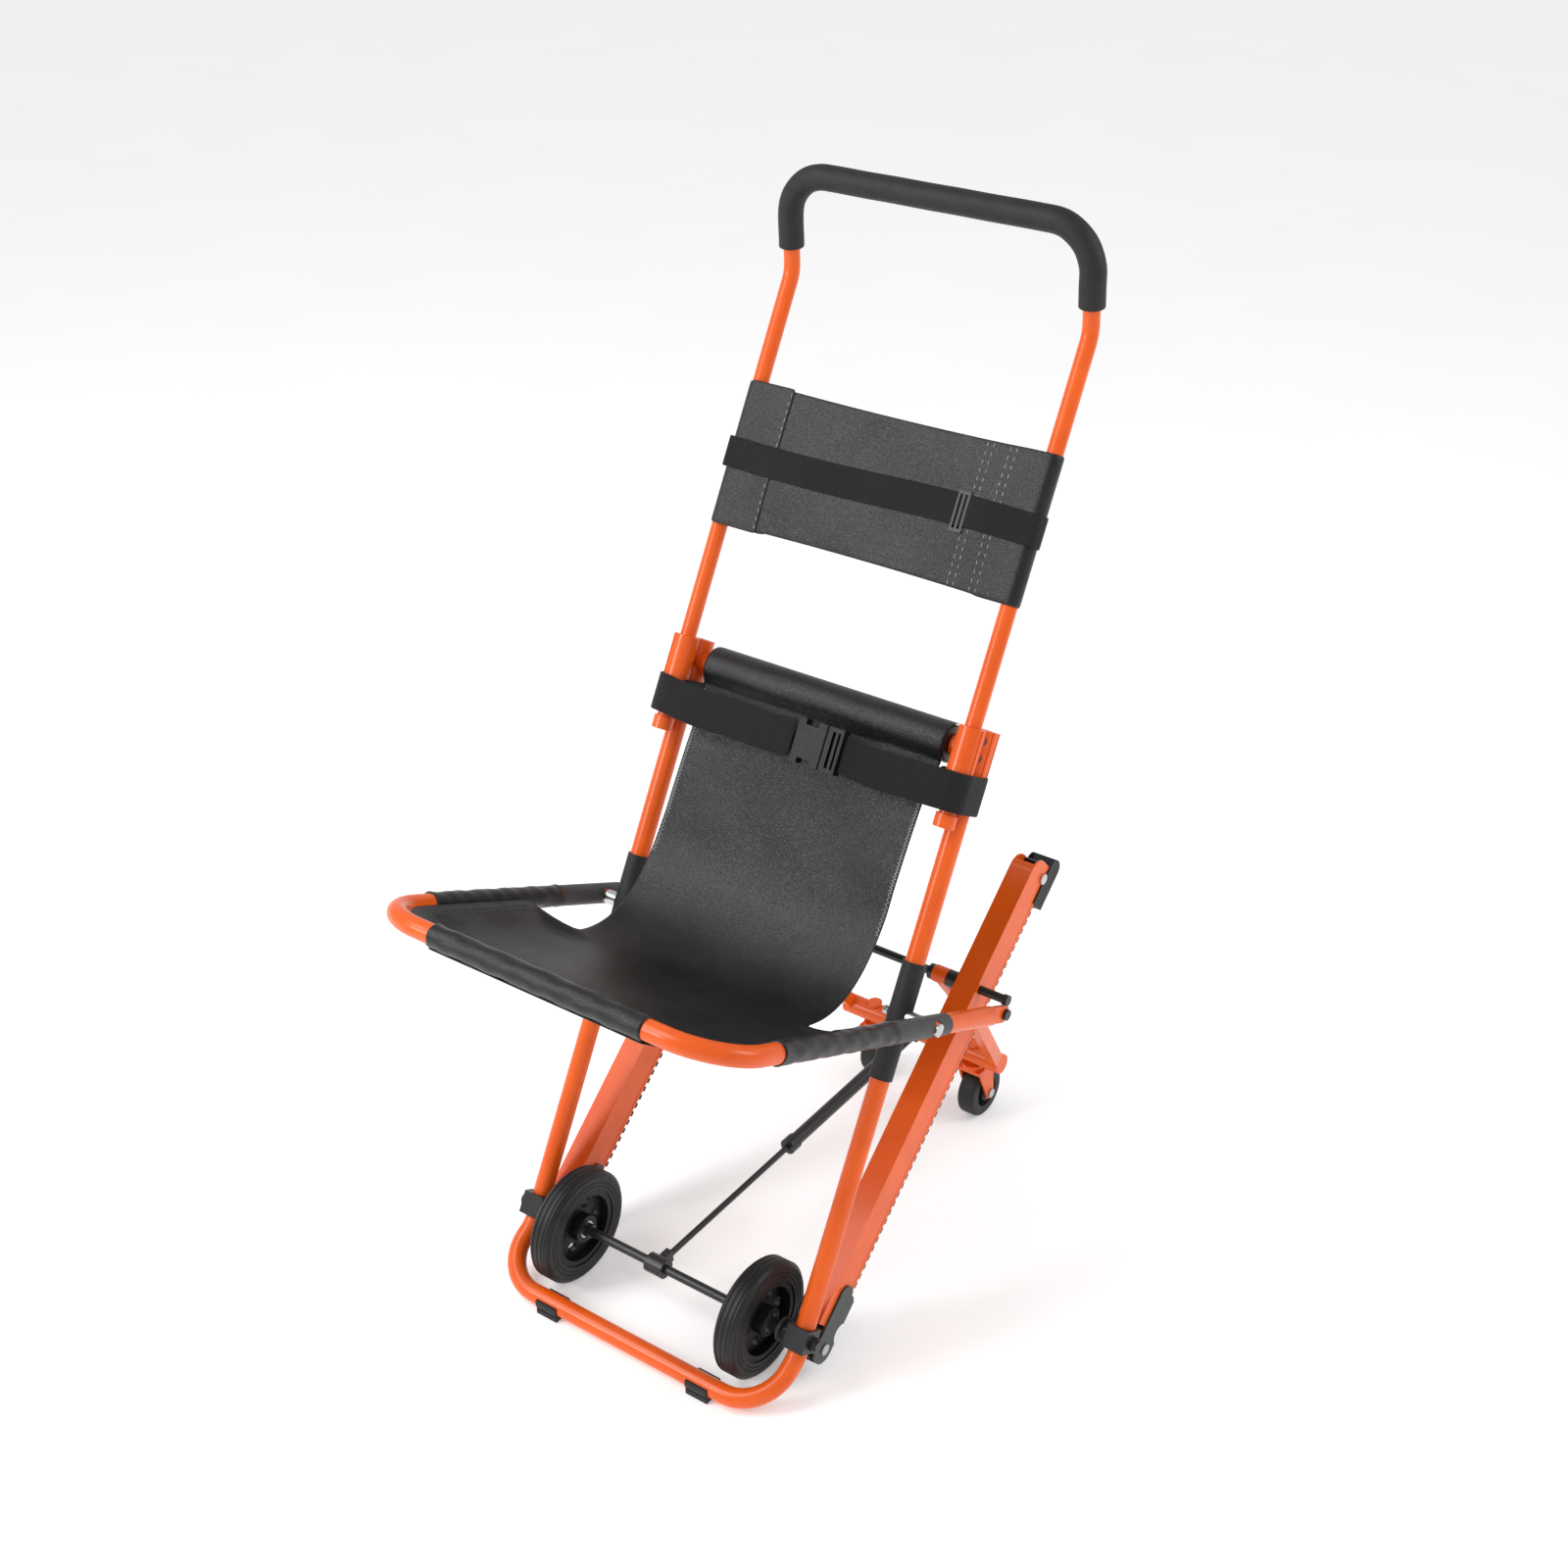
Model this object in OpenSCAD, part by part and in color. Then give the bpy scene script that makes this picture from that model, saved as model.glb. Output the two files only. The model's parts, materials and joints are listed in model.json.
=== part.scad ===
// Folding evacuation stair chair: a bent-tube main frame with a telescopic push handle, a folding
// seat with a sling, two belt tracks that swing out behind it, two front wheels and a rear leg on
// two castors. "Frame space" has the axle as its origin, +Z up along the main tubes, -Y forward;
// frame_space() leans it back onto the wheels. Beams, seat and leg have spaces of their own.

/* [Main frame] */
// Centre distance of the two main tubes
frame_w = 414; // [408:1:420]
// Outer diameter of the main tube
tube_d = 24; // [23:0.5:24]
// Wall of the tubes
tube_wall = 2; // [1.5:0.1:2.5]
// Lean of the main tubes back from upright
lean = 28; // [27:0.5:29]
// Upper end of the main tubes above the axle
tube_top = 742; // [730:1:746]

/* [Handle] */
// Outer diameter of the handle tube
handle_d = 20; // [19:0.5:20]
// Height of the handle's kink above the axle
kink_z = 1207; // [1190:1:1220]
// Forward bend of the handle at its kink
kink_a = 31; // [28:1:33]
// Outer diameter of the foam grip
grip_d = 31; // [28:1:33]

/* [Seat] */
// Centre distance of the seat frame's side tubes
seat_w = 496; // [494:1:500]
// Distance from the pivot to the seat's front tube
seat_reach = 419; // [410:1:425]
// Drop of the seat frame towards its front, against the main tubes
seat_a = 4.2; // [4:0.1:4.4]

/* [Wheels] */
// Diameter of the front wheels
wheel_d = 150; // [149:0.5:151]
// Width of the front tyres
tyre_w = 31; // [28:1:32]
// Diameter of the castor wheels
castor_d = 75; // [74:0.5:76]

/* [Track] */
// Angle between the track beams and the main tubes
track_a = 19.3; // [19:0.1:19.6]
// Length of a track beam from the axle
beam_l = 650; // [630:1:655]
// Width of a track beam
beam_w = 31; // [30:0.5:31]

/* [Hidden] */
$fn = 48;
orange = [0.94, 0.35, 0.12];
black = [0.1, 0.1, 0.11];
dark = [0.16, 0.16, 0.17];
grey = [0.36, 0.4, 0.38];
steel = [0.75, 0.76, 0.78];

axle_y = -208.2;                     // centres the whole object on the origin
tube_x = frame_w / 2;
tube_r = tube_d / 2;
toe_a = 32;                          // forward bend of the main tubes below the axle
toe_r = 45;
foot_r = 58;                         // bend radius of the foot bar's corners
foot_z = -89;
leg_l = 6.5;
foot_y = -(foot_r + leg_l) * sin(toe_a) - toe_r * (1 - cos(toe_a));
toe_z = foot_z + (foot_r + leg_l) * cos(toe_a) + toe_r * sin(toe_a);
hand_y = -30;                        // handle tubes run in front of the main tubes
hand_r = handle_d / 2;
hand_foot = 630;
hand_bend = 54;
hand_leg = 55.9;
clamp_z0 = 652;
clamp_z1 = 748;
barrel_r = 17.5;
roll_z = 721;
roll_y = -3;
roll_r = 23.5;
seat_z = 403;                        // height of the seat pivot
seat_x = seat_w / 2;
seat_bend = 73;
sling_x = 170;
strap_z = 673;
strap_w = 48;
panel_z0 = 891;
panel_z1 = 1068;
chest_z = 979;
chest_w = 38;
wheel_x = 143.5;
axle_r = 6;
beam_x = 196.5;
beam_y0 = 13.5;                      // front face of a beam, behind the axle's line
beam_y1 = 60;                        // the belt's bed
belt_w = 25;
roller_y = 49.5;
roller_r = 10.2;
roller_z = 632;
rod_z = 468.5;                       // stop rod's place along the beam
rod_y = 23.5;
rod_r = 5.5;
bar_y = 569.7;                       // castor cross bar behind the axle, on the level
bar_z = 33;
bar_r = 14;
castor_x = 82;
castor_trail = 19;
strut_x0 = -12;
strut_a = 3.315;
strut_l = 570.66;

// ---------- the spaces ----------
module frame_space() translate([0, axle_y, wheel_d / 2]) rotate([-lean, 0, 0]) children();
module level_space() translate([0, axle_y, wheel_d / 2]) children();
module beam_space() frame_space() rotate([-track_a, 0, 0]) children();
module seat_space() frame_space() translate([0, 0, seat_z]) rotate([seat_a, 0, 0]) children();
module both() { children(); mirror([1, 0, 0]) children(); }
module side(s) { if (s > 0) children(); else mirror([1, 0, 0]) children(); }
module rod_x(x0, x1, r) translate([x0, 0, 0]) rotate([0, 90, 0]) cylinder(h = x1 - x0, r = r);
// a flat outline drawn in (Y, Z), made into a plate from x0 to x1
module plate_x(x0, x1) translate([x0, 0, 0]) rotate([90, 0, 90]) linear_extrude(x1 - x0) children();

// ---------- bent tubes: hollow straights and bends chained along +Z ----------
module straight(l, r, q) {
    difference() {
        cylinder(h = l, r = r);
        if (q > 0) translate([0, 0, -1]) cylinder(h = l + 2, r = q);
    }
    translate([0, 0, l]) children();
}
module bend(radius, a, d, r, q) {
    rotate([0, 0, d]) {
        translate([radius, 0, 0]) rotate([0, 0, 180]) rotate([90, 0, 0])
            rotate_extrude(angle = a) translate([radius, 0]) difference() {
                circle(r);
                if (q > 0) circle(q);
            }
        translate([radius - radius * cos(a), 0, radius * sin(a)]) rotate([0, a, 0])
            rotate([0, 0, -d]) children();
    }
}

// ---------- main frame ----------
module foot_turn() translate([0, foot_y, foot_z]) rotate([180 - toe_a, 0, 0]) rotate([0, 90, 0])
    children();
module main_path(r, q) {
    foot_turn() translate([0, 0, -tube_x + foot_r]) straight(2 * (tube_x - foot_r), r, q);
    both() foot_turn() translate([0, 0, tube_x - foot_r]) bend(foot_r, 90, 0, r, q)
        straight(leg_l, r, q) bend(toe_r, toe_a, 90, r, q) straight(tube_top - toe_z, r, q);
}
module main_frame() color(orange) frame_space() difference() {
    main_path(tube_r, tube_r - tube_wall);
    rod_x(-tube_x - 20, tube_x + 20, axle_r);
    translate([0, 0, seat_z]) rod_x(-tube_x - 20, tube_x + 20, 4);
}
module foot_pads() color(black) frame_space() both()
    translate([118, foot_y, foot_z]) rotate([lean, 0, 0]) difference() {
        union() {
            rod_x(-16, 16, tube_r + 2.6);
            translate([-16, -13, -15.6]) cube([32, 26, 7]);
        }
        rod_x(-17, 17, tube_r);
        translate([-20, -16, 5]) cube([40, 32, 20]);
    }
module clamp_shape() {
    circle(barrel_r);
    translate([0, hand_y]) circle(barrel_r - 1.5);
    translate([-9, hand_y]) square([18, -hand_y]);
    // ribs run along the extrusion
    for (a = [-60, -20, 20, 60]) rotate(a) translate([barrel_r - 0.6, -1.2]) square([1.6, 2.4]);
    for (a = [-40, 0, 40]) translate([0, hand_y]) rotate(a - 10)
        translate([barrel_r - 2.1, -1.2]) square([1.6, 2.4]);
}
module frame_clamp(s) color(orange) frame_space() side(s) translate([tube_x, 0, clamp_z0])
    difference() {
        union() {
            linear_extrude(clamp_z1 - clamp_z0) clamp_shape();
            translate([0, roll_y, roll_z - clamp_z0]) rod_x(-31, -10, 13);
        }
        translate([0, 0, -1]) cylinder(h = tube_top - clamp_z0 + 1, r = tube_r);
        translate([0, 0, -1]) cylinder(h = 120, r = tube_r - tube_wall);
        translate([0, hand_y, -1]) cylinder(h = 120, r = hand_r + 0.06);
        translate([0, roll_y, roll_z - clamp_z0]) rod_x(-40, -tube_r, 9);
        // saw slot and the bores of the two clamp screws
        translate([-1, hand_y / 2 - 3, -1]) cube([30, 3, 120]);
        for (z = [63, 84]) translate([0, -16.5, z]) {
            rod_x(-9.5, 9.5, 2.5);
            rod_x(9, 30, 4.6);
        }
    }
module frame_clamp_left() frame_clamp(-1);
module frame_clamp_right() frame_clamp(1);
module clamp_bolts() color(black) frame_space() both() for (z = [63, 84])
    translate([tube_x, -16.5, clamp_z0 + z]) {
        rod_x(-9.4, 9.4, 2.5);
        rod_x(9.05, 13, 4.5);
    }
module back_tube() color(orange) frame_space() translate([0, roll_y, roll_z]) difference() {
    rod_x(-tube_x + tube_r + 0.6, tube_x - tube_r - 0.6, 9);
    rod_x(-tube_x, tube_x, 7.4);
}
module sling_roll() color(black) frame_space() translate([0, roll_y, roll_z]) difference() {
    rod_x(-175, 175, roll_r);
    rod_x(-176, 176, 9.1);
}
module sling_back() color(black) frame_space()
    translate([-sling_x, roll_y - roll_r - 2.2, 438]) cube([2 * sling_x, 2, roll_z - 438]);
module tube_sleeve(s) color(black) frame_space() side(s) translate([tube_x, 0, 325])
    difference() {
        cylinder(h = 142, r = 14.4);
        translate([0, 0, -1]) cylinder(h = 150, r = tube_r);
        translate([0, 0, seat_z - 325]) rod_x(-20, 20, 5.6);
        translate([0, 0, seat_z - 325]) rod_x(0, 30, 9.2);
    }
module tube_sleeve_left() tube_sleeve(-1);
module tube_sleeve_right() tube_sleeve(1);
module seat_pivot_bolts() color(steel) frame_space() both() translate([0, 0, seat_z]) {
    rod_x(tube_x - 16, seat_x + tube_r + 1.2, 4);
    rod_x(tube_x - 20, tube_x - 14.6, 5.5);
    rod_x(tube_x + tube_r + 0.05, seat_x - tube_r - 0.4, 9);
    translate([seat_x + tube_r + 0.4, 0, 0]) rod_x(0, 2.6, 8);
}
module axle() color(black) frame_space() rod_x(-tube_x - 15.2, tube_x + 15.2, axle_r);
module axle_bracket(s) color(black) frame_space() side(s) difference() {
    translate([tube_x - 15, -17, -16]) cube([30, 28.4, 32]);
    translate([tube_x, 0, -20]) cylinder(h = 40, r = tube_r);
    translate([tube_x, 0, -11]) rotate([toe_a, 0, 0]) translate([0, 0, -40]) cylinder(h = 41, r = 12.6);
    rod_x(0, 300, axle_r);
    translate([tube_x - 20, -30, -40]) cube([40, 60, 27]);
}
module axle_bracket_left() axle_bracket(-1);
module axle_bracket_right() axle_bracket(1);
module axle_spacers() color(black) frame_space() both() {
    difference() {
        union() {
            rod_x(wheel_x + 17.4, 176.8, 9);
            rod_x(181.4, tube_x - 15.1, 9);
            rod_x(wheel_x - 25, wheel_x - 17.4, 9);
        }
        rod_x(0, 300, axle_r);
    }
}
module axle_nuts() color(steel) frame_space() both() difference() {
    translate([tube_x + 15.2, 0, 0]) rotate([0, 90, 0]) {
        cylinder(h = 7, r = 9.5, $fn = 6);
        translate([0, 0, 6]) cylinder(h = 3, r = 7);
    }
    rod_x(0, tube_x + 15.2, 20);
}

// ---------- straps on the main frame ----------
module strap_wrap(s) side(s) translate([tube_x, 0, strap_z - strap_w / 2])
    linear_extrude(strap_w) difference() {
        union() {
            circle(barrel_r + 2.8);
            translate([0, hand_y]) circle(barrel_r + 2.8);
            translate([-barrel_r - 2.8, hand_y]) square([2 * barrel_r + 5.6, -hand_y]);
        }
        circle(barrel_r + 1.2);
        translate([0, hand_y]) circle(barrel_r + 1.2);
        translate([-barrel_r - 1.2, hand_y]) square([2 * barrel_r + 2.4, -hand_y]);
    }
module lap_strap(s) color(black) frame_space() {
    strap_wrap(s);
    // the buckle sits off the middle
    x0 = s > 0 ? 64 : 8;
    side(s) translate([x0, hand_y - barrel_r - 2.8, strap_z - strap_w / 2])
        cube([tube_x - x0, 1.6, strap_w]);
}
module lap_strap_left() lap_strap(-1);
module lap_strap_right() lap_strap(1);
module buckle_socket() color(dark) frame_space()
    translate([-2, hand_y - barrel_r - 8, strap_z - 27]) difference() {
        cube([40, 13, 54]);
        translate([-1, 3, 5]) cube([5, 3, 44]);
        translate([16, 3.5, 11]) cube([30, 6, 32]);
        for (z = [-1, 47]) translate([10, -1, z]) cube([18, 20, 8]);
    }
module buckle_tongue() color(dark) frame_space()
    translate([28, hand_y - barrel_r - 8, strap_z - 27]) {
        translate([-12, 4, 12]) cube([26, 5, 30]);
        difference() {
            translate([12, 0, 0]) cube([22, 13, 54]);
            translate([19, -1, 5]) cube([4, 15, 44]);
            translate([27, -1, 5]) cube([3, 15, 44]);
        }
    }

// ---------- front wheels ----------
module tyre(s) color(black) frame_space() side(s) translate([wheel_x, 0, 0]) rotate([0, 90, 0])
    difference() {
        rotate_extrude() difference() {
            union() {
                translate([52, -tyre_w / 2]) square([17, tyre_w]);
                translate([60, -10]) square([wheel_d / 2 - 60, 20]);
                for (m = [-1, 1]) translate([wheel_d / 2 - 9, m * (tyre_w / 2 - 9)]) circle(9);
            }
            for (m = [-1, 1]) for (q = [57, 62]) translate([q, m * tyre_w / 2]) circle(0.9);
            for (q = [-7, 0, 7]) translate([wheel_d / 2 + 0.2, q]) circle(1.3);
        }
    }
module tyre_left() tyre(-1);
module tyre_right() tyre(1);
module wheel_hub(s) color(dark) frame_space() side(s) translate([wheel_x, 0, 0])
    rotate([0, 90, 0]) difference() {
        rotate_extrude() {
            translate([11.2, -16.5]) square([7, 33]);
            translate([11.2, -3]) square([36, 6]);
            translate([44, -14]) square([8, 28]);
        }
        for (a = [0:60:300]) rotate(a) translate([31, 0, -20]) cylinder(h = 40, r = 8);
    }
module wheel_hub_left() wheel_hub(-1);
module wheel_hub_right() wheel_hub(1);
module wheel_bearing(s) color(steel) frame_space() side(s) translate([wheel_x, 0, 0])
    rotate([0, 90, 0]) difference() {
        translate([0, 0, -17]) cylinder(h = 34, r = 11.2);
        translate([0, 0, -20]) cylinder(h = 40, r = axle_r + 0.05);
    }
module wheel_bearing_left() wheel_bearing(-1);
module wheel_bearing_right() wheel_bearing(1);

// ---------- handle ----------
hand_top_z = kink_z + (12.5 + hand_leg + hand_bend) * cos(kink_a);
hand_top_y = hand_y - (12.5 + hand_leg + hand_bend) * sin(kink_a);
module hand_turn() translate([0, hand_top_y, hand_top_z]) rotate([kink_a, 0, 0]) rotate([0, 90, 0])
    children();
module hand_bar(r, q) hand_turn() translate([0, 0, -tube_x + hand_bend])
    straight(2 * (tube_x - hand_bend), r, q);
module handle_frame() color(orange) frame_space() {
    hand_bar(hand_r, hand_r - 1.8);
    both() hand_turn() translate([0, 0, tube_x - hand_bend])
        bend(hand_bend, 90, 0, hand_r, hand_r - 1.8) straight(hand_leg, hand_r, hand_r - 1.8)
            mirror([0, 1, 0]) bend(45, kink_a, 90, hand_r, hand_r - 1.8)
                straight(kink_z - 12.5 - hand_foot, hand_r, hand_r - 1.8);
}
module handle_grip() color(dark) frame_space() {
    hand_bar(grip_d / 2, hand_r);
    both() hand_turn() translate([0, 0, tube_x - hand_bend])
        bend(hand_bend, 90, 0, grip_d / 2, hand_r) straight(38, grip_d / 2, hand_r);
}
module handle_collars() color(orange) frame_space() both()
    translate([tube_x, hand_y, hand_foot - 1]) difference() {
        cylinder(h = 16, r = 13);
        translate([0, 0, 1]) cylinder(h = 20, r = hand_r);
    }
module wrap_shape(r, t, back) {
    // a band across the front of both handle tubes, round them and part of the way back
    difference() {
        union() {
            both() translate([tube_x, hand_y]) circle(r + t);
            translate([-tube_x, hand_y - r - t]) square([2 * tube_x, t]);
            both() translate([tube_x - back, hand_y + r]) square([back, t]);
        }
        both() translate([tube_x, hand_y]) circle(r);
        both() translate([tube_x - back - 1, hand_y - r]) square([back + 0.5, 2 * r]);
    }
}
module back_panel() color(black) frame_space() translate([0, 0, panel_z0])
    linear_extrude(panel_z1 - panel_z0) wrap_shape(hand_r + 0.2, 2, 62);
module chest_strap() color(dark) frame_space() translate([0, 0, chest_z - chest_w / 2])
    linear_extrude(chest_w) wrap_shape(hand_r + 2.8, 1.8, 90);
module chest_slider() color(steel) frame_space()
    translate([112, hand_y - hand_r - 7, chest_z - 24]) difference() {
        cube([16, 2.3, 48]);
        translate([3, -1, 4]) cube([3.5, 5, 40]);
        translate([9.5, -1, 4]) cube([3.5, 5, 40]);
    }

// ---------- seat ----------
module seat_turn() translate([0, -seat_reach, 0]) rotate([0, 90, 0]) children();
module seat_path(r, q) {
    seat_turn() translate([0, 0, -seat_x + seat_bend]) straight(2 * (seat_x - seat_bend), r, q);
    both() seat_turn() translate([0, 0, seat_x - seat_bend]) bend(seat_bend, 90, 90, r, q)
        straight(seat_reach - seat_bend + 148, r, q);
}
module seat_frame() color(orange) seat_space() {
    difference() {
        seat_path(tube_r, tube_r - tube_wall);
        rod_x(-300, 300, 4.05);
    }
    both() difference() {
        plate_x(seat_x - 2.5, seat_x + 2.5) {
            translate([128, -11]) square([54, 22]);
            translate([182, 0]) circle(11);
        }
        translate([0, 184, 0]) rod_x(200, 300, 3.5);
    }
}
module seat_front_cover() color(black) seat_space() translate([0, -seat_reach, 0])
    difference() {
        rod_x(-150, 150, 14.4);
        rod_x(-151, 151, tube_r);
    }
module seat_cover(s) color(black) seat_space() side(s) translate([seat_x, 0, 0])
    rotate([-90, 0, 0]) difference() {
        translate([0, 0, -322]) cylinder(h = 232, r = 14.2);
        translate([0, 0, -330]) cylinder(h = 320, r = tube_r);
    }
module seat_cover_left() seat_cover(-1);
module seat_cover_right() seat_cover(1);
module seat_sleeves() color(grey) seat_space() both() difference() {
    translate([seat_x, 0, 0]) rotate([-90, 0, 0]) difference() {
        translate([0, 0, -88]) cylinder(h = 122, r = 13.2);
        translate([0, 0, -330]) cylinder(h = 420, r = tube_r);
    }
    rod_x(200, 300, 10);
}
module seat_rear_bolts() color(black) seat_space() both() translate([0, 184, 0]) {
    rod_x(seat_x - 7, seat_x + 7, 3.5);
    rod_x(seat_x - 7, seat_x - 2.6, 7);
    rod_x(seat_x + 2.6, seat_x + 7, 7);
}
module sling_seat() color(black) seat_space() {
    // the seat hangs a little below the tubes; its side webs rise to the tubes' sleeves
    translate([-196, -seat_reach + 22, -14]) cube([392, seat_reach - 22 - 100, 2]);
    both() translate([196, -322, -14]) cube([2, 218, 25]);
    both() translate([198, -322, 9]) cube([seat_x - 198 - 14.4, 218, 2]);
}

// ---------- tracks ----------
module beam_shape() {
    // seen along the beam: X across, Y back from the axle's line
    difference() {
        translate([-beam_w / 2, beam_y0]) square([beam_w, beam_y1 - beam_y0]);
        translate([-beam_w / 2 + 2.5, beam_y0 + 2.5]) square([beam_w - 5, 37]);
        translate([-beam_w / 2 + 2.5, beam_y1 - 0.1]) square([beam_w - 5, 9]);
        for (m = [-1, 1]) translate([m * beam_w / 2, beam_y1 - 6]) circle(0.9);
    }
}
module track_beam(s) color(orange) beam_space() side(s) difference() {
    translate([beam_x, 0, 24]) linear_extrude(beam_l - 24) beam_shape();
    // the end opens for the belt's turn, and is rounded at the front
    translate([beam_x - beam_w / 2 + 2.5, 26, roller_z - 24]) cube([beam_w - 5, 60, 80]);
    translate([beam_x - beam_w / 2 + 2.5, 26, -1]) cube([beam_w - 5, 60, 46]);
    plate_x(0, 300) difference() {
        translate([0, beam_l - 22]) square([beam_y0 + 22, 60]);
        translate([beam_y0 + 22, beam_l - 22]) circle(22);
    }
    translate([0, rod_y, rod_z]) rod_x(100, 300, rod_r);
    translate([0, roller_y, roller_z]) rod_x(100, 300, 4);
}
module track_beam_left() track_beam(-1);
module track_beam_right() track_beam(1);
module belt_outline(r) {
    translate([roller_y, 0]) circle(r);
    translate([roller_y, roller_z]) circle(r);
    translate([roller_y - r, 0]) square([2 * r, roller_z]);
}
module track_belt(s) color(dark) beam_space() side(s)
    plate_x(beam_x - belt_w / 2, beam_x + belt_w / 2) {
        difference() {
            belt_outline(14);
            belt_outline(10.5);
        }
        // lugs of the tread on the working run, and round the two ends
        for (z = [0:12:roller_z]) translate([roller_y + 13.5, z - 3.5]) square([6, 7]);
        for (a = [40:40:160]) translate([roller_y, roller_z]) rotate(a)
            translate([13.2, -3]) square([6.3, 6]);
        for (a = [-160:40:-40]) translate([roller_y, 0]) rotate(a)
            translate([13.2, -3]) square([6.3, 6]);
    }
module track_belt_left() track_belt(-1);
module track_belt_right() track_belt(1);
module hook_outline() {
    translate([roller_y, 0]) circle(19.5);
    translate([30, 0]) square([39, 66]);
    translate([44, 66]) circle(14);
    translate([58, 60]) circle(11);
}
module track_plates(s) color(grey) beam_space() side(s) difference() {
    union() {
        plate_x(177.4, 180.9) {
            hook_outline();
            circle(15);
            translate([0, -15]) square([roller_y, 30]);
            translate([15, 10]) square([20, 46]);
        }
        plate_x(212.1, 215) hook_outline();
    }
    rod_x(0, 300, axle_r + 0.05);
    translate([0, roller_y, 0]) rod_x(0, 300, 4);
    // the hooked end is cut back in a curve
    translate([0, 74, 24]) rod_x(0, 300, 14);
}
module track_plates_left() track_plates(-1);
module track_plates_right() track_plates(1);
module stop_rod() color(black) beam_space() translate([0, rod_y, rod_z]) {
    rod_x(-252, 252, rod_r);
    both() {
        rod_x(246, 253, 6.8);
        rod_x(168, 180, 11);
        rod_x(140, 146.5, 10);
    }
}
module roller_pins() color(steel) beam_space() both() {
    translate([0, roller_y, roller_z]) {
        rod_x(beam_x - 18, beam_x + 18, 4);
        rod_x(beam_x + 15.7, beam_x + 18.5, 7);
    }
    translate([0, roller_y, 0]) {
        rod_x(177, 216, 4);
        rod_x(215.2, 217.5, 7);
    }
}
module rollers() color(dark) beam_space() both() for (z = [0, roller_z])
    translate([0, roller_y, z]) difference() {
        rod_x(beam_x - 12.4, beam_x + 12.4, roller_r);
        rod_x(100, 300, 4);
    }
module track_end_caps() color(black) beam_space() both() difference() {
    plate_x(beam_x - 17.5, beam_x + 17.5) {
        translate([54, 600]) square([26, 52]);
        translate([67, 652]) circle(13);
    }
    plate_x(beam_x - 12.7, beam_x + 12.7) belt_outline(19.9);
    plate_x(beam_x - 15.6, beam_x + 15.6) translate([0, 500]) square([60.2, 200]);
    translate([0, roller_y, roller_z]) rod_x(100, 300, 7.2);
}

// ---------- rear leg with its castors ----------
function rot2(y, z, a) = [y * cos(a) - z * sin(a), y * sin(a) + z * cos(a)];
rod_at = rot2(rod_y, rod_z, -lean - track_a);
leg_len = sqrt(pow(bar_y - rod_at[0], 2) + pow(rod_at[1] - bar_z, 2));
leg_a = atan2(rod_at[1] - bar_z, bar_y - rod_at[0]);
// the leg's own space: the rod is the origin and +Y runs down the arm to the cross bar
module leg_space() level_space() translate([0, rod_at[0], rod_at[1]]) rotate([-leg_a, 0, 0]) children();
module leg_arms() color(orange) leg_space() both() difference() {
    union() {
        rod_x(147, 167, 11);
        plate_x(150, 164) translate([0, -9]) square([120, 18]);
        translate([157, 112, 0]) rotate([0, 0, 9.5]) translate([-7, -2, -9]) cube([14, leg_len - 112, 18]);
    }
    rod_x(0, 300, rod_r + 0.05);
    translate([0, leg_len, 0]) rod_x(0, 300, bar_r);
}
module leg_crossbar() color(orange) level_space() translate([0, bar_y, bar_z]) difference() {
    rod_x(-128, 128, bar_r);
    both() rod_x(20, 126, bar_r - 2);
    both() translate([castor_x, 0, -20]) cylinder(h = 40, r = 6.05);
}
module castor_fork(s) color(orange) level_space() side(s) translate([castor_x, bar_y, 0])
    difference() {
        union() {
            translate([0, 0, bar_z - bar_r - 2]) cylinder(h = 31, r = 6);
            translate([0, 0, bar_z + bar_r + 0.4]) cylinder(h = 4, r = 10);
            translate([0, 0, bar_z - bar_r - 9]) cylinder(h = 8, r = 15);
            translate([-18, -12, 6]) cube([36, 36, 5]);
            for (m = [-1, 1]) plate_x(m * 17 - 1.5, m * 17 + 1.5) {
                translate([castor_trail, castor_d / 2 - wheel_d / 2]) circle(9);
                polygon([[-12, 11], [24, 11], [castor_trail + 9, -37.5], [castor_trail - 9, -37.5]]);
            }
        }
        translate([0, castor_trail, castor_d / 2 - wheel_d / 2]) rod_x(-30, 30, 4);
    }
module castor_fork_left() castor_fork(-1);
module castor_fork_right() castor_fork(1);
module castor_wheel(s) color(black) level_space() side(s)
    translate([castor_x, bar_y + castor_trail, castor_d / 2 - wheel_d / 2]) rotate([0, 90, 0])
        difference() {
            rotate_extrude() {
                translate([4.05, -14.5]) square([9, 29]);
                translate([4.05, -4]) square([26, 8]);
                translate([22, -13]) square([12, 26]);
                translate([24, -9]) square([castor_d / 2 - 24, 18]);
                for (m = [-1, 1]) translate([castor_d / 2 - 5, m * 8]) circle(5);
            }
            for (a = [0:72:288]) rotate(a) translate([17.5, 0, -20]) cylinder(h = 40, r = 3.4);
        }
module castor_wheel_left() castor_wheel(-1);
module castor_wheel_right() castor_wheel(1);
module castor_pin(s) color(steel) level_space() side(s)
    translate([castor_x, bar_y + castor_trail, castor_d / 2 - wheel_d / 2]) {
        rod_x(-19.5, 19.5, 4);
        rod_x(-21.5, -18.6, 6.5);
        rod_x(18.6, 21.5, 6.5);
    }
module castor_pin_left() castor_pin(-1);
module castor_pin_right() castor_pin(1);

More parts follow.
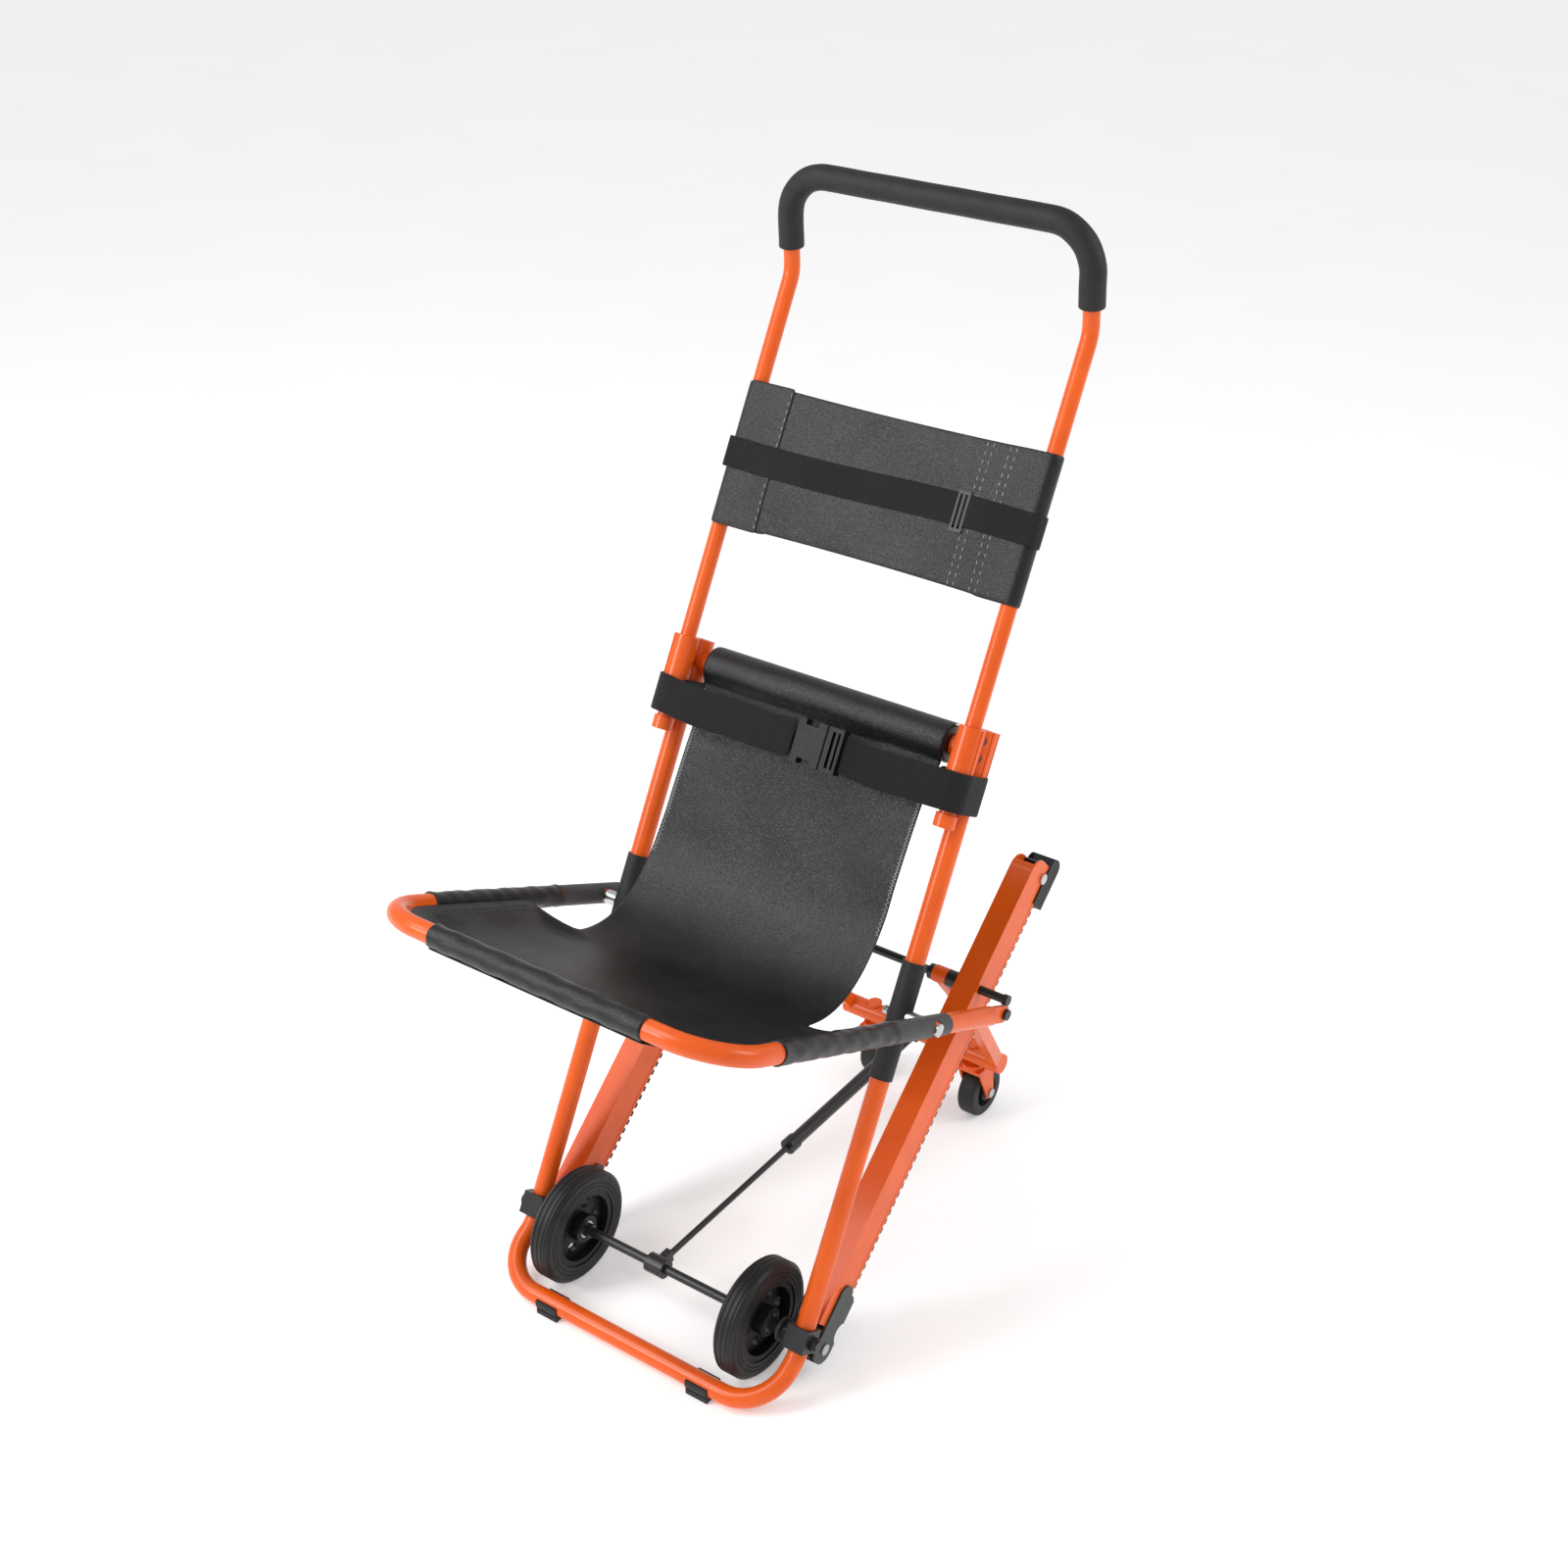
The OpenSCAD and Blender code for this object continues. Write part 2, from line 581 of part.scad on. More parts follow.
// ---------- brace strut ----------
module strut_space() level_space() rotate([strut_a, 0, 0]) children();
module strut_collar() color(black) strut_space() difference() {
    union() {
        rod_x(strut_x0 - 13, strut_x0 + 13, 12.5);
        translate([strut_x0 - 5, 0, -8]) cube([10, 24, 16]);
    }
    rod_x(-100, 100, axle_r + 0.05);
    translate([strut_x0, 14, 0]) rotate([-90, 0, 0]) cylinder(h = 20, r = 4);
}
module strut_rod() color(steel) strut_space() translate([strut_x0, 14, 0]) rotate([-90, 0, 0])
    cylinder(h = 286, r = 4);
module strut_cylinder() color(black) strut_space() translate([strut_x0, 0, 0]) difference() {
    union() {
        translate([0, 268, 0]) rotate([-90, 0, 0]) cylinder(h = strut_l - 268 - 14, r = 9);
        translate([0, 268, 0]) rotate([-90, 0, 0]) cylinder(h = 16, r = 11);
        // saddle that hooks over the cross bar
        translate([0, strut_l, 0]) rod_x(-13, 13, 19.5);
    }
    translate([0, 260, 0]) rotate([-90, 0, 0]) cylinder(h = 286, r = 4.05);
    translate([0, strut_l, 0]) rod_x(-20, 20, 15.6);
    translate([-20, strut_l - 15.6, -40]) cube([40, 60, 40]);
    translate([-20, strut_l - 24, -40]) cube([40, 24, 34]);
}

main_frame();
foot_pads();
frame_clamp_left();
frame_clamp_right();
clamp_bolts();
back_tube();
sling_roll();
sling_back();
tube_sleeve_left();
tube_sleeve_right();
seat_pivot_bolts();
axle();
axle_bracket_left();
axle_bracket_right();
axle_spacers();
axle_nuts();
lap_strap_left();
lap_strap_right();
buckle_socket();
buckle_tongue();
tyre_left();
tyre_right();
wheel_hub_left();
wheel_hub_right();
wheel_bearing_left();
wheel_bearing_right();
handle_frame();
handle_grip();
handle_collars();
back_panel();
chest_strap();
chest_slider();
seat_frame();
seat_front_cover();
seat_cover_left();
seat_cover_right();
seat_sleeves();
seat_rear_bolts();
sling_seat();
track_beam_left();
track_beam_right();
track_belt_left();
track_belt_right();
track_plates_left();
track_plates_right();
stop_rod();
roller_pins();
rollers();
track_end_caps();
leg_arms();
leg_crossbar();
castor_fork_left();
castor_fork_right();
castor_wheel_left();
castor_wheel_right();
castor_pin_left();
castor_pin_right();
strut_collar();
strut_rod();
strut_cylinder();
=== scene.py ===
"""Folding stair chair: soft parts, finishes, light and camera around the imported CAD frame."""
import json
import math

import bpy
from mathutils import Matrix, Vector
from mathutils.bvhtree import BVHTree


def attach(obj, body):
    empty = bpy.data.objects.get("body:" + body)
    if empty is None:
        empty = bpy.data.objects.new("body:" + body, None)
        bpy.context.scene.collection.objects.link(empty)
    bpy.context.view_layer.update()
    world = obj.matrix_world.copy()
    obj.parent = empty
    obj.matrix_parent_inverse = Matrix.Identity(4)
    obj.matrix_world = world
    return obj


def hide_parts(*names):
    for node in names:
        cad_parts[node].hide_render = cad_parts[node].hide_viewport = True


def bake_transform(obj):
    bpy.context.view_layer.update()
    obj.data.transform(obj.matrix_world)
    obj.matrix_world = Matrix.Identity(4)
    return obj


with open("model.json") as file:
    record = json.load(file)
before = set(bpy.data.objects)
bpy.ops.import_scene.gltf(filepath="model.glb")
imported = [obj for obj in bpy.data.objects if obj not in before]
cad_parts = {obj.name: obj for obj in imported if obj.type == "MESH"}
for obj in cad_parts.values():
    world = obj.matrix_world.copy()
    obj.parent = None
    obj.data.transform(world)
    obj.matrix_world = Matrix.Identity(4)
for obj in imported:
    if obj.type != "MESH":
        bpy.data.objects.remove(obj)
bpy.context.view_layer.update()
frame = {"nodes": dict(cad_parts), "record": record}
MM = 0.001

# ---------- the CAD's own spaces, in millimetres ----------
LEAN = math.radians(28)
SEAT_DROP = math.radians(4.2)
AXLE = Vector((0, -208.2, 75))
SEAT_PIVOT_Z = 403
TO_FRAME = Matrix.Translation(AXLE) @ Matrix.Rotation(-LEAN, 4, "X")
TO_SEAT = TO_FRAME @ Matrix.Translation((0, 0, SEAT_PIVOT_Z)) @ Matrix.Rotation(SEAT_DROP, 4, "X")
TUBE_X = 207
HAND_Y = -30
SEAT_X = 248
SEAT_REACH = 419


def place(space, p):
    """A point of a CAD space, in millimetres, as a world point in metres."""
    return (space @ Vector(p)) * MM


def smooth(t):
    t = min(1.0, max(0.0, t))
    return t * t * (3 - 2 * t)


# ---------- materials ----------
class Nodes:
    """A principled material with a few helpers to build its noise, bump and colour."""

    def __init__(self, name):
        self.m = bpy.data.materials.new(name)
        self.m.use_nodes = True
        self.t = self.m.node_tree
        self.p = self.t.nodes["Principled BSDF"]
        self.co = self.t.nodes.new("ShaderNodeTexCoord").outputs["Object"]

    def add(self, kind):
        return self.t.nodes.new(kind)

    def link(self, a, b):
        self.t.links.new(a, b)

    def noise(self, scale, detail=4.0, rough=0.55):
        n = self.add("ShaderNodeTexNoise")
        n.inputs["Scale"].default_value = scale
        n.inputs["Detail"].default_value = detail
        n.inputs["Roughness"].default_value = rough
        self.link(self.co, n.inputs["Vector"])
        return n.outputs["Fac"]

    def voronoi(self, scale, feature="F1"):
        n = self.add("ShaderNodeTexVoronoi")
        n.feature = feature
        n.inputs["Scale"].default_value = scale
        self.link(self.co, n.inputs["Vector"])
        return n.outputs["Distance"]

    def wave(self, scale, axis="X", distort=0.0):
        n = self.add("ShaderNodeTexWave")
        n.bands_direction = axis
        n.inputs["Scale"].default_value = scale
        n.inputs["Distortion"].default_value = distort
        self.link(self.co, n.inputs["Vector"])
        return n.outputs["Fac"]

    def ramp(self, fac, stops):
        n = self.add("ShaderNodeValToRGB")
        while len(n.color_ramp.elements) < len(stops):
            n.color_ramp.elements.new(0.5)
        for e, (pos, col) in zip(n.color_ramp.elements, stops):
            e.position = pos
            e.color = (*col, 1)
        self.link(fac, n.inputs["Fac"])
        return n.outputs["Color"]

    def math(self, op, a, b):
        n = self.add("ShaderNodeMath")
        n.operation = op
        for i, v in enumerate((a, b)):
            if isinstance(v, (int, float)):
                n.inputs[i].default_value = v
            else:
                self.link(v, n.inputs[i])
        return n.outputs[0]

    def colour(self, fac, dark, light, lo=0.3, hi=0.7):
        self.link(self.ramp(fac, [(lo, dark), (hi, light)]), self.p.inputs["Base Color"])

    def rough(self, fac, lo, hi):
        n = self.add("ShaderNodeMapRange")
        n.inputs["To Min"].default_value = lo
        n.inputs["To Max"].default_value = hi
        self.link(fac, n.inputs["Value"])
        self.link(n.outputs["Result"], self.p.inputs["Roughness"])

    def bump(self, height, strength, distance):
        n = self.add("ShaderNodeBump")
        n.inputs["Strength"].default_value = strength
        n.inputs["Distance"].default_value = distance
        self.link(height, n.inputs["Height"])
        self.link(n.outputs["Normal"], self.p.inputs["Normal"])

    def set(self, **values):
        for k, v in values.items():
            self.p.inputs[k.replace("_", " ")].default_value = v
        return self


def powder_coat():
    n = Nodes("powder_coat_orange")
    n.colour(n.noise(14, 3), (0.74, 0.094, 0.005), (0.86, 0.122, 0.008))
    n.rough(n.noise(40, 2), 0.24, 0.36)
    n.bump(n.noise(900, 2), 0.10, 0.0004)
    return n.set(Coat_Weight=0.12, Coat_Roughness=0.12, Specular_IOR_Level=0.34).m


def leatherette():
    n = Nodes("leatherette_black")
    n.colour(n.noise(26, 5), (0.0042, 0.0042, 0.0045), (0.0105, 0.0105, 0.011))
    n.rough(n.noise(60, 3), 0.28, 0.38)
    cells = n.math("MULTIPLY", n.voronoi(650, "DISTANCE_TO_EDGE"), 1.4)
    grain = n.math("ADD", cells, n.noise(420, 3))
    n.bump(n.math("ADD", grain, n.math("MULTIPLY", n.noise(22, 2), 1.6)), 0.32, 0.0009)
    return n.set(Specular_IOR_Level=0.38, Sheen_Weight=0.02).m


def webbing():
    n = Nodes("webbing_black")
    rows = n.math("MULTIPLY", n.wave(290, "X"), n.wave(260, "DIAGONAL"))
    n.colour(rows, (0.003, 0.003, 0.0032), (0.012, 0.012, 0.0125), 0.1, 0.8)
    n.rough(n.noise(200, 2), 0.62, 0.8)
    n.bump(rows, 0.7, 0.0008)
    return n.set(Sheen_Weight=0.07, Specular_IOR_Level=0.3).m


def rubber(name, base, lo, hi, grain, depth):
    n = Nodes(name)
    n.colour(n.noise(35, 5), tuple(c * 0.75 for c in base), tuple(c * 1.35 for c in base))
    n.rough(n.noise(90, 3), lo, hi)
    n.bump(n.math("ADD", n.noise(grain, 4), n.math("MULTIPLY", n.noise(30, 2), 0.4)), 0.4, depth)
    return n.set(Specular_IOR_Level=0.4).m


def plastic(name, base):
    n = Nodes(name)
    n.colour(n.noise(20, 3), tuple(c * 0.85 for c in base), tuple(c * 1.2 for c in base))
    n.rough(n.noise(120, 2), 0.4, 0.52)
    n.bump(n.voronoi(1100), 0.12, 0.0003)
    return n.set(Specular_IOR_Level=0.28).m


def metal(name, base, lo, hi, metallic=1.0):
    n = Nodes(name)
    n.colour(n.noise(60, 5), tuple(c * 0.8 for c in base), tuple(min(1, c * 1.15) for c in base))
    n.rough(n.noise(150, 4), lo, hi)
    n.bump(n.noise(700, 3), 0.12, 0.0003)
    return n.set(Metallic=metallic).m


MATERIALS = {
    "powder_orange": powder_coat(),
    "leatherette": leatherette(),
    "webbing": webbing(),
    "black_steel": metal("black_steel", (0.02, 0.02, 0.021), 0.3, 0.42, 0.15),
    "plate_grey": metal("plate_grey_green", (0.055, 0.068, 0.062), 0.38, 0.52, 0.3),
    "plated_steel": metal("zinc_plated_steel", (0.56, 0.57, 0.58), 0.22, 0.36),
    "tyre_rubber": rubber("tyre_rubber", (0.008, 0.008, 0.0083), 0.42, 0.58, 320, 0.0005),
    "pad_rubber": rubber("pad_rubber", (0.012, 0.012, 0.0125), 0.5, 0.65, 400, 0.0004),
    "grip_foam": rubber("grip_foam", (0.011, 0.011, 0.0115), 0.5, 0.66, 950, 0.0006),
    "black_plastic": plastic("black_plastic", (0.007, 0.007, 0.0073)),
    "sleeve_plastic": plastic("grey_sleeve_plastic", (0.05, 0.05, 0.052)),
}
THREAD = plastic("stitch_thread", (0.05, 0.05, 0.052))
# pale thread: the real colour of the hem and panel stitches, and painted glint on the sling's edge
# stitches
PALE_THREAD_AND_GLINT = plastic("pale_thread_and_painted_glint", (0.5, 0.5, 0.5))

slot_of = {s["node"]: s["material_slot"] for s in frame["record"]["subparts"]}
for node_name, ob in frame["nodes"].items():
    want = MATERIALS[slot_of[node_name]]
    if not ob.material_slots:
        ob.data.materials.append(want)
    for ms in ob.material_slots:
        ms.material = want


# ---------- mesh helpers ----------
def finish_piece(ob, material, body=None):
    ob.data.materials.clear()
    ob.data.materials.append(material)
    for poly in ob.data.polygons:
        poly.use_smooth = True
    if body:
        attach(ob, body)
    return ob


def mesh_object(name, verts, faces):
    me = bpy.data.meshes.new(name)
    me.from_pydata([tuple(v) for v in verts], [], faces)
    me.validate()
    me.update()
    ob = bpy.data.objects.new(name, me)
    bpy.context.scene.collection.objects.link(ob)
    return ob


def bake(ob):
    """Applies the modifiers, so the mesh is final."""
    deps = bpy.context.evaluated_depsgraph_get()
    me = bpy.data.meshes.new_from_object(ob.evaluated_get(deps))
    ob.modifiers.clear()
    ob.data = me
    return ob


def cloth_grid(name, rows, thickness):
    """A closed, rounded sheet from a grid of world points."""
    nv = len(rows[0])
    verts = [p for row in rows for p in row]
    faces = [
        (i * nv + j, i * nv + j + 1, (i + 1) * nv + j + 1, (i + 1) * nv + j)
        for i in range(len(rows) - 1)
        for j in range(nv - 1)
    ]
    ob = mesh_object(name, verts, faces)
    so = ob.modifiers.new("thick", "SOLIDIFY")
    so.thickness = thickness * MM
    so.offset = 0
    ss = ob.modifiers.new("smooth", "SUBSURF")
    ss.levels = ss.render_levels = 1
    return bake(ob)


def sweep(name, path, radius, sides=28, cap=0.35):
    """A solid round bar along world points; radius(i, t, angle) in mm, with rounded ends."""
    n = len(path)
    verts, faces = [], []
    normal = None
    for i, p in enumerate(path):
        d = (path[min(i + 1, n - 1)] - path[max(i - 1, 0)]).normalized()
        if normal is None:
            normal = d.orthogonal().normalized()
        normal = (normal - d * normal.dot(d)).normalized()
        side = d.cross(normal)
        for k in range(sides):
            a = 2 * math.pi * k / sides
            r = radius(i / (n - 1), a) * MM
            verts.append(p + normal * (r * math.cos(a)) + side * (r * math.sin(a)))
    for i in range(n - 1):
        for k in range(sides):
            k2 = (k + 1) % sides
            faces.append((i * sides + k, i * sides + k2, (i + 1) * sides + k2, (i + 1) * sides + k))
    faces.append(tuple(range(sides))[::-1])
    faces.append(tuple((n - 1) * sides + k for k in range(sides)))
    ob = mesh_object(name, verts, faces)
    be = ob.modifiers.new("round", "BEVEL")
    be.width = cap * 4 * MM
    be.segments = 3
    be.limit_method = "ANGLE"
    be.angle_limit = math.radians(50)
    return bake(ob)


def stitches(name, runs, body, length=4.2, gap=2.6, proud=0.5, thread=THREAD):
    """Rows of thread: each run is (points, outward) in world metres."""
    verts, faces = [], []
    for pts, out in runs:
        dist = 0.0
        for a, b in zip(pts, pts[1:]):
            d = b - a
            total = d.length
            if total < 1e-9:
                continue
            u = d / total
            side = u.cross(out).normalized()
            while dist + length * MM < total:
                s = a + u * dist
                ring = []
                for f, w, h in ((0, 0.15, 0.1), (0.25, 0.42, 1), (0.75, 0.42, 1), (1, 0.15, 0.1)):
                    c = s + u * (f * length * MM)
                    for m, q in ((-1, 0), (-0.5, h), (0.5, h), (1, 0)):
                        ring.append(c + side * (m * w * MM) + out * ((q * proud + 0.02) * MM))
                base = len(verts)
                verts += ring
                for i in range(3):
                    at = base + i * 4
                    for j in range(3):
                        faces.append((at + j, at + j + 1, at + j + 5, at + j + 4))
                    faces.append((at, at + 4, at + 7, at + 3))
                faces.append((base, base + 1, base + 2, base + 3))
                faces.append((base + 15, base + 14, base + 13, base + 12))
                dist += (length + gap) * MM
            dist -= total
            dist = max(dist, 0.0)
    ob = mesh_object(name, verts, faces)
    finish_piece(ob, thread, body)
    return ob


def wrap_path(r, back, x_in, steps=10):
    """Round both handle tubes and across their front: (x, y) points, left back edge to right."""
    pts = []
    for k in range(4):
        pts.append((-TUBE_X + back * (1 - k / 3.0), HAND_Y + r))
    for k in range(1, steps):
        a = math.pi / 2 + math.pi * k / steps
        pts.append((-TUBE_X + r * math.cos(a), HAND_Y + r * math.sin(a)))
    for k in range(x_in + 1):
        t = k / x_in
        pts.append((-TUBE_X + 2 * TUBE_X * t, HAND_Y - r))
    for k in range(1, steps):
        a = -math.pi / 2 + math.pi * k / steps
        pts.append((TUBE_X + r * math.cos(a), HAND_Y + r * math.sin(a)))
    for k in range(4):
        pts.append((TUBE_X - back * k / 3.0, HAND_Y + r))
    return pts


UP = (TO_FRAME.to_3x3() @ Vector((0, 0, 1))).normalized()
OUT = (TO_FRAME.to_3x3() @ Vector((0, -1, 0))).normalized()
SEAT_UP = (TO_SEAT.to_3x3() @ Vector((0, 0, 1))).normalized()

# ---------- the sling: one sheet from the roll, down, and forward to the front tube ----------
ROLL_Y, ROLL_Z, ROLL_R = -3, 721, 24.6
CREASE_Z, CREASE_Y = 535, -140
SAG = 12
LEAVE_Z = 700.8


def back_y(z):
    """The back leaves the roll at its lower front and comes forward to the crease."""
    t = (LEAVE_Z - z) / (LEAVE_Z - CREASE_Z)
    return -17.1 - 11.1 * t - 2 * math.sin(math.pi * min(1, max(0, t)))


def sling_line():
    """Points down the middle of the sling in frame space: (y, z, which part of it)."""
    pts = []
    for k in range(15):
        a = math.radians(80 + 155 * k / 14)
        pts.append((ROLL_Y + ROLL_R * math.cos(a), ROLL_Z + ROLL_R * math.sin(a), "back"))
    for k in range(1, 21):
        z = LEAVE_Z - (LEAVE_Z - CREASE_Z) * k / 20
        pts.append((back_y(z), z, "back"))
    # the crease rolls round from the back to the seat
    p0, p1, p2 = Vector((-28.2, CREASE_Z)), Vector((-30, 386)), Vector((CREASE_Y, 377.6))
    for k in range(1, 16):
        t = k / 16
        q = p0 * (1 - t) ** 2 + p1 * (2 * t * (1 - t)) + p2 * t * t
        pts.append((q.x, q.y, "crease"))
    for k in range(29):
        y = CREASE_Y - (SEAT_REACH + CREASE_Y) * k / 28
        sp = Matrix.Rotation(SEAT_DROP, 4, "X") @ Vector((0, y, -15.2))
        pts.append((sp.y, SEAT_PIVOT_Z + sp.z, "seat"))
    for k in range(1, 3):
        a = math.radians(-90 - 9 * k)
        sp = Matrix.Rotation(SEAT_DROP, 4, "X") @ Vector(
            (0, -SEAT_REACH + 15.3 * math.cos(a), 15.3 * math.sin(a))
        )
        pts.append((sp.y, SEAT_PIVOT_Z + sp.z, "seat"))
    return pts


def half_width(y, z, part):
    if part == "back":
        return 169 + 5.2 * smooth((z - 672) / 24)
    if part == "crease":
        return 170.0
    # up to the side tubes, then along the inside of the corner bends
    if y > -346:
        return 170 + 64.5 * smooth((CREASE_Y - y) / 16)
    if y > -400:
        return 175 + math.sqrt(59.5**2 - (y + 346) ** 2)
    return 152 + 48 * smooth((y + 416) / 16)


def sling_point(u, y, z, part):
    """u runs from -1 to 1 across; the sheet hangs between its edges."""
    w = half_width(y, z, part)
    x = w * u
    belly = 1 - min(1.0, abs(u)) ** 2.2
    if part == "seat":
        # the sides rise as webs to the tubes
        ends = smooth((y + 415) / 36) * smooth((CREASE_Y - y) / 22)
        web = 19 * smooth((abs(u) - 0.8) / 0.2) * ends
        return Vector((x, y, z - SAG * belly * smooth((SEAT_REACH - 4 + y) / 90) + web))
    if part == "crease":
        a = math.pi / 2 * smooth((CREASE_Z - z) / (CREASE_Z - 378))
        return Vector((x, y + SAG * belly * math.cos(a), z - SAG * belly * math.sin(a)))
    return Vector((x, y + SAG * belly * smooth((LEAVE_Z - z) / 130), z))


line = sling_line()
ACROSS = 40
rows = []
for i, (y, z, part) in enumerate(line):
    row = []
    for j in range(ACROSS + 1):
        u = -1 + 2 * j / ACROSS
        p = sling_point(u, y, z, part)
        # creases pulled from the corners, and the soft unevenness of a used sheet
        ripple = 1.1 * math.sin(0.045 * p.x + 0.031 * p.z + 0.6 * math.sin(0.02 * p.y))
        ripple += 0.7 * math.sin(0.021 * p.x - 0.06 * p.y)
        edge = smooth((1 - abs(u)) / 0.12) * smooth(i / 8) * smooth((len(line) - 1 - i) / 6)
        if part == "back":
            p.y += ripple * edge * 0.8
        else:
            p.z += ripple * edge * 0.9
        row.append(place(TO_FRAME, p))
    rows.append(row)
sling = cloth_grid("sling", rows, 1.8)
finish_piece(sling, MATERIALS["leatherette"])
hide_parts("sling_back", "sling_seat")
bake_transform(sling)

# the rolled top of the sling, round its cross tube
roll_path = [place(TO_FRAME, (x, ROLL_Y, ROLL_Z)) for x in [-175 + 350 * k / 60 for k in range(61)]]


def roll_radius(t, a):
    ridge = 0.9 * math.exp(-(((a - 4.2) / 0.16) ** 2))
    return 22.9 + 0.35 * math.sin(9 * t + 2 * a) + 0.25 * math.sin(23 * t - a) + ridge


roll = sweep("sling_roll_cover", roll_path, roll_radius, 36, 0.5)
finish_piece(roll, MATERIALS["leatherette"], "frame")
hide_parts("sling_roll")

# saw-tooth overlock stitches down both edges of the sling's back; their pale thread is painted
# glint, standing in for the white glints along the sling's edges
tooth_runs = []
for i in range(len(line) - 1):
    if line[i][2] == "seat" or not 487 < line[i][1] < 700:
        continue
    for e, n in ((0, 1), (-1, -2)):
        a0, a1, b0, b1 = rows[i][e], rows[i + 1][e], rows[i][n], rows[i + 1][n]
        out = (b0 - a0).cross(a1 - a0).normalized()
        out = out if out.dot(OUT + UP) > 0 else -out
        teeth = max(1, round((a1 - a0).length / 0.0055))
        pts = []
        for k in range(2 * teeth + 1):
            t = k / (2 * teeth)
            pts.append(a0.lerp(a1, t).lerp(b0.lerp(b1, t), 0.2 if k % 2 else 0.8) + out * 0.00095)
        tooth_runs.append((pts, out))
# the pale grey of these edge stitches is painted glint, not the thread's own colour
stitches("sling_edge_stitches_painted_glint", tooth_runs, "frame", 4.2, 0.2, 0.6, PALE_THREAD_AND_GLINT)
seat_runs = []


def surface_run(ob, starts, inward):
    """Points of a piece's outer surface, found by looking along `inward` from each start."""
    tree = BVHTree.FromPolygons([v.co.copy() for v in ob.data.vertices],
                                [tuple(f.vertices) for f in ob.data.polygons])
    hits = [tree.ray_cast(p, inward)[0] for p in starts]
    return [h - inward * 0.00005 for h in hits if h is not None], -inward


for side in (-1, 1):
    for off in (0, 5):
        starts = [place(TO_SEAT, (side * (222 - off), -140 - 200 * k / 34, 60)) for k in range(35)]
        seat_runs.append(surface_run(sling, starts, -SEAT_UP))
stitches("sling_seat_stitches", seat_runs, "seat")

# ---------- sleeves sewn round the seat tubes ----------
def sleeve_radius(base, seed):
    def r(t, a):
        hem = 0.7 * math.exp(-((min(t, 1 - t) / 0.02) ** 2))
        seam = 1.3 * math.exp(-(((a - 4.0) / 0.14) ** 2))
        folds = 0.35 * math.sin(31 * t + 3 * a + seed) + 0.25 * math.sin(57 * t - 2 * a + seed)
        return base + hem + seam + folds
    return r


for name, side in (("left", -1), ("right", 1)):
    pts = [place(TO_SEAT, (side * SEAT_X, -322 + 232 * k / 60, 0)) for k in range(61)]
    cover = sweep(f"side_cover_{name}", pts, sleeve_radius(13.5, side), 30, 0.4)
    finish_piece(cover, MATERIALS["leatherette"], "seat")
    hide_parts(f"seat_cover_{name}")
front_pts = [place(TO_SEAT, (-150 + 300 * k / 70, -SEAT_REACH, 0)) for k in range(71)]
front_cover = sweep("front_cover", front_pts, sleeve_radius(13.9, 3), 30, 0.4)
finish_piece(front_cover, MATERIALS["leatherette"], "seat")
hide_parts("seat_front_cover")
hem_runs = []
for a in (math.radians(18), math.radians(-4)):
    way = (TO_SEAT.to_3x3() @ Vector((0, math.cos(a), math.sin(a)))).normalized()
    starts = [place(TO_SEAT, (-146 + 292 * k / 70, -SEAT_REACH, 0)) + way * 0.03 for k in range(71)]
    hem_runs.append(surface_run(front_cover, starts, -way))
stitches("front_hem_stitches", hem_runs, "seat", 3.6, 2.8, 0.5, PALE_THREAD_AND_GLINT)

# ---------- foam grip ----------
KINK = math.radians(31)
HAND_BEND, HAND_LEG, KINK_Z = 54, 55.9, 1207
TOP_Z = KINK_Z + (12.5 + HAND_LEG + HAND_BEND) * math.cos(KINK)
TOP_Y = HAND_Y - (12.5 + HAND_LEG + HAND_BEND) * math.sin(KINK)
down = Vector((0, math.sin(KINK), -math.cos(KINK)))


def grip_half(side):
    pts = []
    for k in range(13):
        pts.append(Vector((side * (TUBE_X - HAND_BEND) * k / 12, TOP_Y, TOP_Z)))
    for k in range(1, 19):
        a = math.radians(90 * k / 18)
        x = TUBE_X - HAND_BEND + HAND_BEND * math.sin(a)
        pts.append(Vector((side * x, TOP_Y, TOP_Z)) + down * (HAND_BEND * (1 - math.cos(a))))
    for k in range(1, 8):
        pts.append(Vector((side * TUBE_X, TOP_Y, TOP_Z)) + down * (HAND_BEND + 38 * k / 7))
    return pts


grip_path = [place(TO_FRAME, p) for p in grip_half(-1)[::-1] + grip_half(1)[1:]]
grip = sweep("foam_grip", grip_path, lambda t, a: 15.4 + 0.12 * math.sin(70 * t + a), 36, 0.5)
finish_piece(grip, MATERIALS["grip_foam"], "handle")
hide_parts("handle_grip")

# ---------- back panel, with its flap and stitch lines ----------
PANEL_LOW, PANEL_HIGH, CHEST_Z = 891, 1068, 979


def wrapped(name, r, back, z0, z1, n_z, thickness, shape):
    rows_ = []
    for i in range(n_z + 1):
        z = z0 + (z1 - z0) * i / n_z
        rows_.append([place(TO_FRAME, shape(Vector((x, y, z)))) for x, y in wrap_path(r, back, 44)])
    return cloth_grid(name, rows_, thickness)


def panel_shape(p):
    mid = smooth((TUBE_X - abs(p.x)) / 60) if p.y < HAND_Y - 5 else 0
    t = (p.z - PANEL_LOW) / (PANEL_HIGH - PANEL_LOW)
    edge = 1 - abs(2 * t - 1) ** 2.5
    out = Vector(p)
    waves = 2.2 * math.sin(0.021 * p.x + 2.4 * t) + 1.2 * math.sin(0.05 * p.x - 5 * t)
    out.y += mid * edge * waves
    pull = 3.2 * mid * (1 - (p.x / TUBE_X) ** 2)
    out.z += pull * (1 if t < 0.5 else -1) * abs(2 * t - 1)
    return out


panel = wrapped("back_panel_cover", 11.4, 62, PANEL_LOW, PANEL_HIGH, 22, 1.9, panel_shape)
finish_piece(panel, MATERIALS["leatherette"], "handle")
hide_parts("back_panel")

